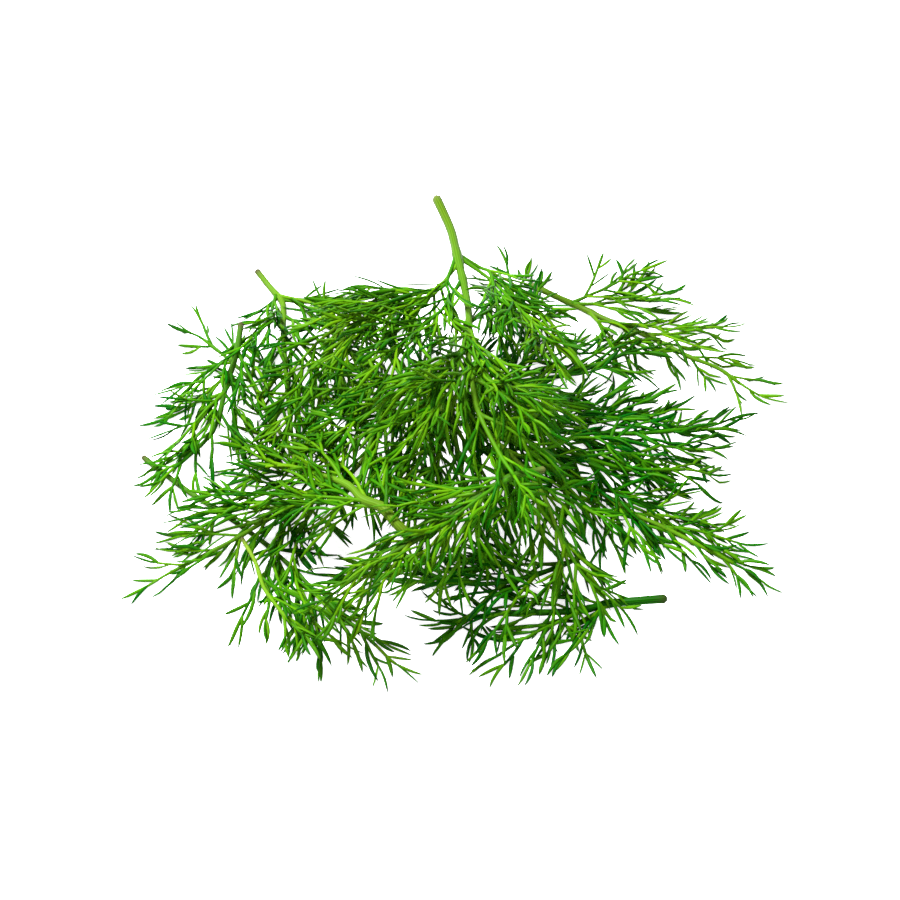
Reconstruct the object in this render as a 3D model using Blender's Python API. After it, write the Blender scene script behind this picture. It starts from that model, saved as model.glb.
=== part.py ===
"""A loose heap of fresh dill: cut sprigs lying on and across one another on a flat surface.

Each sprig is one compound leaf that grew as one piece: a stalk, pairs of side leaflets along it,
and fine spikes along each leaflet. A sprig is drawn in plan by hand, as a route for its stalk.
The leaflets grow from that route by rule. Then each sprig in turn is laid on the floor and on the
sprigs under it, so that none of them touch.

Lengths in the tables and in the growth rule are millimetres; MM turns them into metres.
"""

import math
import random
from typing import NamedTuple

import bmesh
import bpy
import numpy as np

MM = 0.001
COLLECTION = "dill_bunch"

# Growth of the leaflets: a pair of numbers is the range of an even draw
ROUTE_STEP = 8.0  # spacing of the points along a stalk
STALK_TIP_RADIUS = 0.38
LAST_PAIR = 0.94  # share of the stalk at its last pair of leaflets
SHORTEST_LEAFLET = 7.0
LEAFLET_SIZES = (0.85, 1.12)  # of the length that the rule gives
LEAFLET_TURNS = (0.8, 1.2)  # of the sprig's opening
CLOSING = 0.25  # share by which the leaflets open less at the tip
LEAFLET_SWAY = (-25, 25)  # degrees that a pair of leaflets is turned about the stalk
LEAFLET_LIFT = (-12, 32)  # degrees that a leaflet points up from its side
LEAFLET_LEAN = (-0.1, 0.45)  # pull along the stalk
LEAFLET_DROOP = (0.05, 0.45)  # pull downwards
LEAFLET_POINTS = 3
LEAFLET_FOOT = (0.36, 0.008, 0.5)  # radius, more for each millimetre of length, and the most
LEAFLET_TIP_RADIUS = 0.3
SMALLEST_FEATHERED = 10.5  # a shorter leaflet has no spikes of its own

# Growth of the spikes along a leaflet
SPIKE_SPACING = 8.0
NO_SPIKES = 3.0  # length of a leaflet that would take no pair
SPIKE_SPAN = (0.24, 0.86)  # shares of the leaflet at its first and last pair
ONLY_PAIR = 0.45
LONGEST_SPIKE = 11.5
SHORTEST_SPIKE = 1.2
SPIKE_GROWTH = (1.5, 0.5)  # length, and more for each millimetre of the leaflet
SPIKE_TAPER = 0.45  # share by which the spikes shorten towards the tip
SPIKE_SIZES = (0.8, 1.15)
SPIKE_TURNS = (25, 42)  # degrees from the leaflet
SPIKE_ROLLS = (-50, 50)  # degrees about the leaflet
SPIKE_LEAN = 0.2
SPIKE_RADII = (0.38, 0.24)

# Laying the sprigs on one another
CLEARANCE = 0.35  # kept between two sprigs
FALL = 0.45  # steepest way down from a support, as height over distance
CREST = 7.0  # rounding of a sprig's sag over a support
CELL = 3.0  # spacing of the height field that a sprig rests on
SAMPLE = 1.2  # spacing of the points that are tested for contact

# Sections of the swept shapes
STALK_SIDES = 6
LEAFLET_SIDES = 3
WELD = 0.000001
CREASE = 50.0  # degrees between two faces past which their edge stays sharp


class Sprig(NamedTuple):
    """One cut sprig: its stalk's route from the cut end to the tip as (x, y, lift), and its leaf."""

    name: str
    tone: str
    seed: int
    route: tuple
    pairs: int  # pairs of leaflets
    reach: float  # length of the first leaflet
    bare: float  # share of the stalk below the first leaflet
    thick: float = 0.8  # radius of the stalk at its cut end
    opening: float = 40.0  # degrees between a leaflet and the stalk
    left: float = 1.0  # share of its length that a leaflet on the left has
    right: float = 1.0
    drawn: tuple = ()  # leaflets drawn by hand: (share of the stalk, points)


SPRIGS = (
    Sprig("sprig_far_left", "middle", 7, pairs=5, reach=13, bare=0.52, thick=0.65, left=0.75,
          right=1.1,
          route=((-65, 7, 3), (-55, -2, 1), (-46, -9, 0), (-38, -16, 0), (-30, -25, 0),
                 (-24, -33, 0), (-18, -39, 0), (-14, -43, 0)),
          drawn=((0.62, ((-27, -36, 0), (-26, -40, 0))),)),
    Sprig("sprig_left_low", "middle", 1, pairs=6, reach=17, bare=0.36, thick=0.6, opening=44,
          left=0.8,
          route=((-15, 11, 0), (-21, 2, 0), (-29, -5, 0), (-37, -12, 0), (-43, -17, 0),
                 (-49, -20, 0), (-57, -24, 0)),
          drawn=((0.2, ((-28, 0, 0), (-35, 4, 0), (-40, 4, 0))),)),
    Sprig("sprig_right_low", "middle", 2, pairs=6, reach=15, bare=0.18, thick=0.6, opening=30,
          right=0.85,
          route=((25, 4, 0), (33, -4, 0), (39, -10, 0), (46, -14, 0), (53, -18, 0), (60, -22, 0))),
    Sprig("sprig_front_right", "deep", 3, pairs=5, reach=11.3, bare=0.3, thick=0.95, left=0.6,
          right=0.9,
          route=((45, -32, 4), (40, -32, 2), (34, -32, 0), (28, -34, 0), (21, -35, 0),
                 (12, -35, 0), (3, -36, 0)),
          drawn=((0.28, ((30, -36, 0), (27, -41, 0))),
                 (0.4, ((24, -37, 0), (19, -40, 0), (14, -43, 0))))),
    Sprig("sprig_back_right", "bright", 4, pairs=4, reach=12, bare=0.42, thick=0.75, opening=36,
          right=0.75,
          route=((20, 57, 4), (25, 54, 2), (30, 52, 0), (37, 47, 0), (46, 41, 0), (54, 35, 0),
                 (60, 32, 0), (65, 28, 0)),
          drawn=((0.19, ((33, 54, 2), (37, 56, 3), (41, 59, 4))),
                 (0.2, ((36, 52, 1), (41, 53, 1), (46, 53, 1))),
                 (0.28, ((36, 44, 0), (39, 38, 0))),
                 (0.55, ((51, 41, 1), (55, 41, 2), (58, 42, 2))))),
    Sprig("sprig_left_high", "middle", 5, pairs=7, reach=12, bare=0.1, thick=0.55, left=0.8,
          route=((-30, -1, 0), (-34, 9, 0), (-39, 19, 0), (-43, 28, 0), (-48, 34, 0),
                 (-54, 40, 0))),
    Sprig("sprig_back_middle", "deep", 41, pairs=5, reach=13, bare=0.1, thick=0.55,
          route=((11, 25, 0), (19, 28, 0), (28, 30, 0), (35, 32, 0), (41, 34, 0))),
    Sprig("sprig_right_middle", "deep", 6, pairs=6, reach=16, bare=0.12, thick=0.6,
          route=((16, 15, 0), (25, 13, 0), (36, 12, 0), (46, 12, 0), (57, 15, 0)),
          drawn=((0.6, ((46, 8, 0), (51, 8, 0))),)),
    Sprig("sprig_front_left", "middle", 8, pairs=3, reach=8.5, bare=0.45, thick=0.45, opening=34,
          route=((-42, -20, 0), (-39, -26, 0), (-37, -32, 0), (-34, -37, 0), (-32, -40, 0))),
    Sprig("sprig_front_inner", "deep", 9, pairs=7, reach=14, bare=0.1, thick=0.55,
          route=((28, -21, 0), (19, -27, 0), (9, -30, 0), (0, -29, 0), (-8, -23, 0),
                 (-14, -24, 0))),
    Sprig("sprig_back_inner", "deep", 10, pairs=5, reach=11, bare=0.1, thick=0.55,
          route=((-1, 15, 0), (8, 24, 0), (14, 28, 0), (18, 32, 0)),
          drawn=((0.98, ((18, 45, 2), (15, 56, 7))),)),
    Sprig("sprig_right_inner", "deep", 29, pairs=6, reach=16, bare=0.1, thick=0.55,
          route=((3, 19, 0), (16, 9, 0), (26, 2, 0), (38, -2, 0), (51, 0, 0))),
    Sprig("sprig_back_left", "middle", 11, pairs=6, reach=16, bare=0.16, thick=0.75, right=0.8,
          route=((-43, 61, 4), (-40, 57, 2), (-37, 52, 1), (-36, 39, 0), (-35, 28, 0),
                 (-34, 18, 0), (-33, 10, 0)),
          drawn=((0.17, ((-40, 50, 2), (-42, 49, 1), (-42, 48, 0))),
                 (0.19, ((-33, 52, 1), (-29, 52, 1), (-25, 53, 1))))),
    Sprig("sprig_left_outer", "middle", 12, pairs=7, reach=13, bare=0.15, thick=0.7, right=0.95,
          route=((-45, 37, 4), (-46, 30, 2), (-48, 24, 0), (-49, 16, 0), (-51, 11, 0),
                 (-55, 6, 0), (-58, 2, 0))),
    Sprig("sprig_back_centre", "middle", 13, pairs=5, reach=16, bare=0.1, thick=0.55,
          route=((1, 16, 0), (-8, 29, 0), (-14, 37, 0), (-21, 42, 0), (-26, 45, 0))),
    Sprig("sprig_left_inner", "middle", 23, pairs=5, reach=15, bare=0.1, thick=0.55,
          route=((-22, 41, 0), (-25, 28, 0), (-27, 17, 0), (-27, 7, 0), (-24, -1, 0))),
    Sprig("sprig_centre_left", "middle", 33, pairs=6, reach=16, bare=0.1, thick=0.55,
          route=((-3, 21, 0), (-10, 11, 0), (-15, 3, 0), (-17, -3, 0), (-18, -7, 0))),
    Sprig("sprig_centre", "middle", 14, pairs=7, reach=18, bare=0.05, thick=0.55,
          route=((1, 17, 0), (2, 0, 0), (4, -11, 0), (7, -19, 0), (10, -25, 0))),
    Sprig("sprig_pale_stalk", "bright", 15, pairs=4, reach=13, bare=0.36, thick=1.2,
          route=((-7, -25, 1), (-10, -22, 1), (-13, -18, 0), (-17, -16, 0), (-20, -12, 0),
                 (-27, -7, 0), (-34, -3, 0)),
          drawn=((0.22, ((-12, -17, 1), (-12, -12, 1), (-12, -7, 0))),
                 (0.28, ((-19, -17, 0), (-23, -15, 0), (-28, -14, 0))),
                 (0.38, ((-22, -15, 0), (-26, -13, 0), (-31, -12, 0))))),
    Sprig("sprig_centre_right", "bright", 16, pairs=7, reach=14, bare=0.1, thick=0.55,
          route=((7, 1, 0), (15, -7, 0), (20, -13, 0), (23, -20, 0), (25, -26, 0)),
          drawn=((0.8, ((28, -29, 1), (32, -32, 1))),)),
    Sprig("sprig_front_top", "bright", 17, pairs=7, reach=13, bare=0.15, thick=0.75, opening=32,
          left=1.15,
          route=((20, -14, 0), (13, -16, 0), (5, -21, 0), (-3, -27, 0), (-9, -31, 0),
                 (-15, -34, 0), (-20, -37, 0))),
    Sprig("sprig_top", "bright", 18, pairs=4, reach=20, bare=0.6, thick=1.15, opening=44,
          route=((-2, 78, 10), (1, 67, 8), (3, 53, 6), (5, 37, 2), (5, 16, 0), (7, -1, 0),
                 (11, -11, 0), (14, -17, 0)),
          drawn=((0.225, ((-1, 43, 4), (-8, 39, 3), (-16, 36, 1), (-24, 34, 0))),
                 (0.32, ((-1, 35, 2), (-5, 29, 1), (-9, 23, 0), (-13, 16, 0))),
                 (0.26, ((-3, 42, 2), (-8, 38, 1), (-15, 32, 0), (-20, 25, 0))),
                 (0.225, ((8, 55, 4), (10, 53, 4), (11, 44, 3), (12, 31, 1))),
                 (0.235, ((10, 51, 3), (15, 42, 2), (20, 32, 1), (23, 21, 0))),
                 (0.5, ((2, 8, 1), (-1, 4, 0))),
                 (0.5, ((9, 8, 1), (16, 4, 1), (21, 3, 0))))),
)

# Leaf colours in linear light, from the shaded underside of the heap to its top
TONES = {
    "deep": (0.012, 0.11, 0.008),
    "middle": (0.03, 0.17, 0.012),
    "bright": (0.075, 0.27, 0.025),
}
LEAF_ROUGHNESS = 0.5


class Branch(NamedTuple):
    """A tapering piece of a sprig: points (n, 3) and a radius at each, both in millimetres."""

    kind: str  # stalk, leaflet, small leaflet or spike
    path: np.ndarray
    radii: np.ndarray


UP = np.array((0.0, 0.0, 1.0))


def unit(vector):
    return vector / np.linalg.norm(vector)


def runs(path):
    return np.linalg.norm(np.diff(path, axis=0), axis=1)


def smooth_path(points, spacing):
    """Points about spacing apart on a Catmull-Rom curve through the given ones."""
    points = np.array(points, float)
    ends = np.vstack((2 * points[0] - points[1], points, 2 * points[-1] - points[-2]))
    made = [points[0]]
    for a, b, c, d in zip(ends, ends[1:], ends[2:], ends[3:]):
        steps = max(1, round(np.linalg.norm(c - b) / spacing))
        for t in np.arange(1, steps + 1) / steps:
            made.append(b + 0.5 * t * (c - a + t * (2 * a - 5 * b + 4 * c - d
                                                    + t * (3 * b - a - 3 * c + d))))
    return np.array(made)


def place_on(path, share):
    """The point and the unit direction at a share of the path's length."""
    run = runs(path)
    reached = np.concatenate(([0.0], np.cumsum(run)))
    at = share * reached[-1]
    i = min(max(int(np.searchsorted(reached, at)) - 1, 0), len(run) - 1)
    along = path[i + 1] - path[i]
    return path[i] + along * (at - reached[i]) / run[i], unit(along)


def shoot(start, heading, length, pull, points):
    """A path that sets out along heading and leans evenly towards pull."""
    made = [start]
    for k in range(1, points):
        way = unit(heading + pull * (k - 0.5) / (points - 1))
        made.append(made[-1] + way * length / (points - 1))
    return np.array(made)


def beside(way, roll):
    """The unit vector square to way, on its left and turned up by roll."""
    across = unit(np.cross(UP, way))
    return across * math.cos(roll) + np.cross(way, across) * math.sin(roll)


def leaflets(sprig, stalk, chance):
    """The paths of a sprig's leaflets: pairs that shorten towards the tip, then the drawn ones."""
    made = []
    for i in range(sprig.pairs):
        t = i / (sprig.pairs - 1)
        size = sprig.reach * (1 - t) + SHORTEST_LEAFLET * t
        start, way = place_on(stalk, sprig.bare + (LAST_PAIR - sprig.bare) * t)
        sway = chance.uniform(*LEAFLET_SWAY)
        for side, share in ((1, sprig.left), (-1, sprig.right)):
            length = share * size * chance.uniform(*LEAFLET_SIZES)
            roll = math.radians(sway + side * chance.uniform(*LEAFLET_LIFT))
            turn = math.radians(sprig.opening * chance.uniform(*LEAFLET_TURNS)
                                * (1 - CLOSING * t))
            heading = way * math.cos(turn) + beside(way, roll) * side * math.sin(turn)
            pull = way * chance.uniform(*LEAFLET_LEAN) - UP * chance.uniform(*LEAFLET_DROOP)
            made.append(shoot(start, heading, length, pull, LEAFLET_POINTS))
    for share, points in sprig.drawn:
        start, _ = place_on(stalk, share)
        made.append(smooth_path((start, *points), ROUTE_STEP))
    return made


def along_leaflet(length, spacing):
    """Where pairs stand along a leaflet of that length, and how long each is: (share, length)."""
    pairs = max(1, round((length - NO_SPIKES) / spacing))
    first, last = SPIKE_SPAN
    least, more = SPIKE_GROWTH
    made = []
    for k in range(pairs):
        share = first + (last - first) * k / (pairs - 1) if pairs > 1 else ONLY_PAIR
        reach = min(LONGEST_SPIKE, least + more * length) * (1 - SPIKE_TAPER * share)
        made.append((share, reach + SHORTEST_SPIKE))
    return made


def spikes(leaflet, chance):
    """Pairs of spikes along a leaflet, long near its foot and short near its tip."""
    made = []
    for share, size in along_leaflet(runs(leaflet).sum(), SPIKE_SPACING):
        start, way = place_on(leaflet, share)
        for side in (1, -1):
            reach = size * chance.uniform(*SPIKE_SIZES)
            turn = math.radians(chance.uniform(*SPIKE_TURNS))
            roll = math.radians(chance.uniform(*SPIKE_ROLLS))
            heading = way * math.cos(turn) + beside(way, roll) * side * math.sin(turn)
            made.append(shoot(start, heading, reach, SPIKE_LEAN * way, 2))
    return made


def grow(sprig):
    """All branches of a sprig, with heights measured from the surface that it will lie on."""
    chance = random.Random(sprig.seed)
    stalk = smooth_path(sprig.route, ROUTE_STEP)
    made = [Branch("stalk", stalk, np.linspace(sprig.thick, STALK_TIP_RADIUS, len(stalk)))]
    least, more, most = LEAFLET_FOOT
    for path in leaflets(sprig, stalk, chance):
        length = runs(path).sum()
        if length < SMALLEST_FEATHERED:
            made.append(Branch("small leaflet", path[[0, -1]], np.array(SPIKE_RADII)))
            continue
        foot = min(most, least + more * length)
        made.append(Branch("leaflet", path, np.linspace(foot, LEAFLET_TIP_RADIUS, len(path))))
        made += [Branch("spike", way, np.array(SPIKE_RADII)) for way in spikes(path, chance)]
    return made


def sampled(branches):
    """Points and radii about SAMPLE apart along all the branches."""
    points, radii = [], []
    for branch in branches:
        run = np.concatenate(([0.0], np.cumsum(runs(branch.path))))
        at = np.linspace(0, run[-1], max(2, math.ceil(run[-1] / SAMPLE) + 1))
        at = np.union1d(at, run)
        points.append(np.stack([np.interp(at, run, branch.path[:, i]) for i in range(3)], 1))
        radii.append(np.interp(at, run, branch.radii))
    return np.vstack(points), np.concatenate(radii)


class Surface:
    """A height field in plan that a sprig lies on: it spans the supports and sags between them."""

    def __init__(self, supports, heights):
        self.low = np.floor(supports[:, :2].min(axis=0)) - CELL
        count = np.ceil((supports[:, :2].max(axis=0) + CELL - self.low) / CELL).astype(int) + 1
        x = self.low[0] + CELL * np.arange(count[0])
        y = self.low[1] + CELL * np.arange(count[1])
        self.height = np.full((len(x), len(y)), -np.inf)
        for (sx, sy), top in zip(supports[:, :2], heights):
            away = np.sqrt((x[:, None] - sx) ** 2 + (y[None, :] - sy) ** 2 + CREST**2) - CREST
            self.height = np.maximum(self.height, top - FALL * away)
        for _ in range(2):
            self.height = self.blurred(self.blurred(self.height).T).T

    @staticmethod
    def blurred(field):
        padded = np.vstack((field[:1], field, field[-1:]))
        return 0.25 * padded[:-2] + 0.5 * field + 0.25 * padded[2:]

    def at(self, points):
        place = (points[:, :2] - self.low) / CELL
        cell = np.clip(np.floor(place).astype(int), 0, np.array(self.height.shape) - 2)
        (i, j), (u, v) = cell.T, (place - cell).T
        near = self.height[i, j] * (1 - u) + self.height[i + 1, j] * u
        far = self.height[i, j + 1] * (1 - u) + self.height[i + 1, j + 1] * u
        return near * (1 - v) + far * v


def needed_heights(points, radii, under, under_radii):
    """The lowest height of each point that clears the floor and every sampled point under it."""
    needed = radii.copy()
    for k, (point, radius) in enumerate(zip(points, radii)):
        room = radius + under_radii + CLEARANCE
        away = np.hypot(under[:, 0] - point[0], under[:, 1] - point[1])
        tops = (under[:, 2] + room)[away < room + 0.5 * SAMPLE]
        needed[k] = max(needed[k], tops.max(initial=0.0))
    return needed


def lay_down(grown):
    """Lays each sprig on the floor and on the ones before it, and centres the heap in plan."""
    under, under_radii = np.zeros((0, 3)), np.zeros(0)
    laid = []
    for branches in grown:
        points, radii = sampled(branches)
        needed = needed_heights(points, radii, under, under_radii)
        surface = Surface(points, needed - points[:, 2])
        moved = []
        for branch in branches:
            path = branch.path.copy()
            path[:, 2] += surface.at(path)
            moved.append(branch._replace(path=path))
        points, radii = sampled(moved)
        short = (needed_heights(points, radii, under, under_radii) - points[:, 2]).max()
        for branch in moved:
            branch.path[:, 2] += short
        points[:, 2] += short
        under, under_radii = np.vstack((under, points)), np.concatenate((under_radii, radii))
        laid.append(moved)
    reach = under_radii[:, None]
    middle = ((under - reach).min(axis=0) + (under + reach).max(axis=0)) / 2
    middle[2] = 0
    for branches in laid:
        for branch in branches:
            branch.path[:] -= middle
    return laid


def clear_scene():
    for obj in list(bpy.data.objects):
        bpy.data.objects.remove(obj, do_unlink=True)


def new_collection(name, hidden):
    collection = bpy.data.collections.new(name)
    bpy.context.scene.collection.children.link(collection)
    collection.hide_render = hidden
    return collection


def leaf_material(tone):
    material = bpy.data.materials.new(f"dill_{tone}")
    material.use_nodes = True
    shader = material.node_tree.nodes["Principled BSDF"]
    shader.inputs["Base Color"].default_value = (*TONES[tone], 1.0)
    shader.inputs["Roughness"].default_value = LEAF_ROUGHNESS
    shader.inputs["Metallic"].default_value = 0.0
    return material


def section(sides):
    """The outline that is swept along a branch: a regular polygon of radius one millimetre."""
    curve = bpy.data.curves.new(f"section_{sides}", "CURVE")
    outline = curve.splines.new("POLY")
    outline.points.add(sides - 1)
    for k, point in enumerate(outline.points):
        angle = 2 * math.pi * k / sides
        point.co = (MM * math.cos(angle), MM * math.sin(angle), 0.0, 1.0)
    outline.use_cyclic_u = True
    return bpy.data.objects.new(curve.name, curve)


def swept(name, branches, outline, collection):
    """One mesh object with a closed, tapering tube along each branch."""
    curve = bpy.data.curves.new(name, "CURVE")
    curve.dimensions = "3D"
    curve.bevel_mode = "OBJECT"
    curve.bevel_object = outline
    curve.use_fill_caps = True
    for branch in branches:
        spline = curve.splines.new("POLY")
        spline.points.add(len(branch.path) - 1)
        for point, place, radius in zip(spline.points, branch.path, branch.radii):
            point.co = (*(place * MM), 1.0)
            point.radius = radius
    guide = bpy.data.objects.new(name + "_curve", curve)
    collection.objects.link(guide)
    graph = bpy.context.evaluated_depsgraph_get()
    mesh = bpy.data.meshes.new_from_object(guide.evaluated_get(graph))
    bpy.data.objects.remove(guide, do_unlink=True)
    welded = bmesh.new()
    welded.from_mesh(mesh)
    bmesh.ops.remove_doubles(welded, verts=welded.verts, dist=WELD)
    bmesh.ops.recalc_face_normals(welded, faces=welded.faces)
    welded.to_mesh(mesh)
    welded.free()
    mesh.name = name
    made = bpy.data.objects.new(name, mesh)
    collection.objects.link(made)
    return made


def build_sprig(sprig, branches, outlines, shown, helpers):
    """A sprig's stalk with all its leaflets and spikes joined to it in one solid."""
    body = swept(sprig.name, branches[:1], outlines["stalk"], shown)
    leaf = swept(sprig.name + "_leaf", branches[1:], outlines["leaflet"], helpers)
    leaf.hide_render = True
    leaf.display_type = "WIRE"
    join = body.modifiers.new("join_leaf", "BOOLEAN")
    join.operation = "UNION"
    join.solver = "EXACT"
    join.use_self = True
    join.object = leaf
    body.data.materials.append(bpy.data.materials[f"dill_{sprig.tone}"])
    body.data.shade_smooth()
    body.data.set_sharp_from_angle(angle=math.radians(CREASE))
    return body


def main():
    clear_scene()
    shown = new_collection(COLLECTION, hidden=False)
    helpers = new_collection(COLLECTION + "_leaf_shapes", hidden=True)
    for tone in TONES:
        leaf_material(tone)
    outlines = {"stalk": section(STALK_SIDES), "leaflet": section(LEAFLET_SIDES)}
    for outline in outlines.values():
        helpers.objects.link(outline)
        outline.hide_render = True
        outline.display_type = "WIRE"
    laid = lay_down([grow(sprig) for sprig in SPRIGS])
    for sprig, branches in zip(SPRIGS, laid):
        build_sprig(sprig, branches, outlines, shown, helpers)


main()
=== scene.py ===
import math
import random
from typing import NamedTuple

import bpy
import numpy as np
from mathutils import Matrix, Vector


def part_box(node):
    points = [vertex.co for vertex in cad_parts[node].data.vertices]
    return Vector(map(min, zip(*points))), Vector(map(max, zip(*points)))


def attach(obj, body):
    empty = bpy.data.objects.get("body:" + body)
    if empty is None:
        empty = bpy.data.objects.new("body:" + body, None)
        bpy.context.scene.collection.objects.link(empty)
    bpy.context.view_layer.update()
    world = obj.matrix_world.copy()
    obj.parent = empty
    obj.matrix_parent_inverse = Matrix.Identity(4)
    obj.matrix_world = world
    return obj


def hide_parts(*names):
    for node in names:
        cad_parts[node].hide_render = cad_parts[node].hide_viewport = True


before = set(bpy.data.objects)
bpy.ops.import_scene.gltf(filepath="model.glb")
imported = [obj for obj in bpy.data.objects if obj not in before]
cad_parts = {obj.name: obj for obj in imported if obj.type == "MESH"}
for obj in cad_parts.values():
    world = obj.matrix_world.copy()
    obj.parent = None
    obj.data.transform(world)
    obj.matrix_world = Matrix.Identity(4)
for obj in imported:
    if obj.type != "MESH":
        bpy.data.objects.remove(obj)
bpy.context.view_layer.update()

# %% [markdown]
# # A heap of fresh dill
# Dill lies here as it comes from the chopping board: some twenty cut sprigs, loose, on and across
# one another. Each sprig is one compound leaf. A ribbed stalk carries pairs of leaflets, a leaflet
# carries small side stems, and those end in forks of narrow green threads.
#
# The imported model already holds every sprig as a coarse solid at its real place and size. This
# lesson grows the same sprigs again from the same rule and the same seeds, adds the fine threads,
# and gives the leaf its finish. All lengths in the tables are millimetres.

MM = 0.001

# %% [markdown]
# ## The sprigs
# A heap looks natural when its big lines are placed one by one and its small ones follow a rule.
# So each stalk is a short route in plan, from the cut end to the tip, with a few heights where it
# rises off the heap. The places on the routes, and on some leaflets, were picked in a slanting
# view and then worked out in plan, to the nearest millimetre, so those numbers weren't drawn by
# hand. A separate helper program then worked out where they lie in plan, to the nearest millimetre,
# so those numbers weren't drawn by hand. The pairs of leaflets, their length and their angle are
# given numbers. The same table made the imported model, so every sprig here lands on its own solid.


# %% Sprig table
class Sprig(NamedTuple):
    """One cut sprig: its stalk's route, from cut end to tip as (x, y, lift), and its leaf."""

    name: str
    # Colour group: partly own green, partly painted shade inside the heap and light on top.
    tone: str
    seed: int
    route: tuple
    pairs: int  # pairs of leaflets
    reach: float  # length of the first leaflet
    bare: float  # share of the stalk below the first leaflet
    thick: float = 0.8  # radius of the stalk at its cut end
    opening: float = 40.0  # degrees between a leaflet and the stalk
    left: float = 1.0  # share of its length that a leaflet on the left has
    right: float = 1.0
    drawn: tuple = ()  # leaflets placed one by one, like the route: (share of the stalk, points)


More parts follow.
